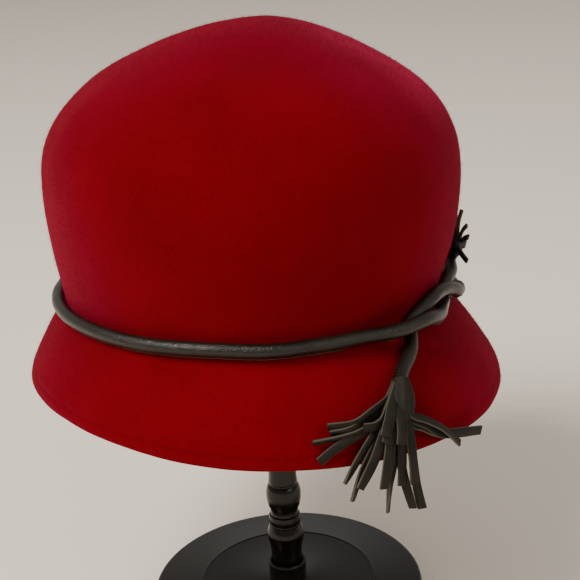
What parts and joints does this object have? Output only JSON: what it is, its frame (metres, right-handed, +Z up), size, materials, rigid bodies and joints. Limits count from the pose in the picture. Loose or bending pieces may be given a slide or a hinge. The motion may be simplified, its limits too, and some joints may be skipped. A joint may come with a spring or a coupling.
{
  "type": "felt cloche hat with a knotted leather cord on a turned display stand",
  "caption": "Round-crowned felt cloche with a soft turned-down brim, a leather cord knotted at one side with strip tassels, resting on a plain turned post stand.",
  "frame": {"origin": "centre of the stand foot's flat underside, on the floor", "axes": "+Z up along the stand's post, -Y towards the hat's front, +X towards the side with the knot"},
  "size_m": [0.2122, 0.2358, 0.2838],
  "materials": {
    "red_felt": "brushed wool felt",
    "cord_leather": "satin",
    "strip_leather": "matte",
    "black_thread": "matte",
    "black_stand": "gloss black paint"
  },
  "bodies": {
    "root": {"felt_body": "red_felt", "leather_cord": "cord_leather", "tassel_lower": "strip_leather", "tassel_upper": "strip_leather", "binding_upper": "black_thread", "stand_foot": "black_stand", "stand_post": "black_stand", "stand_cap": "black_stand"}
  },
  "joints": []
}
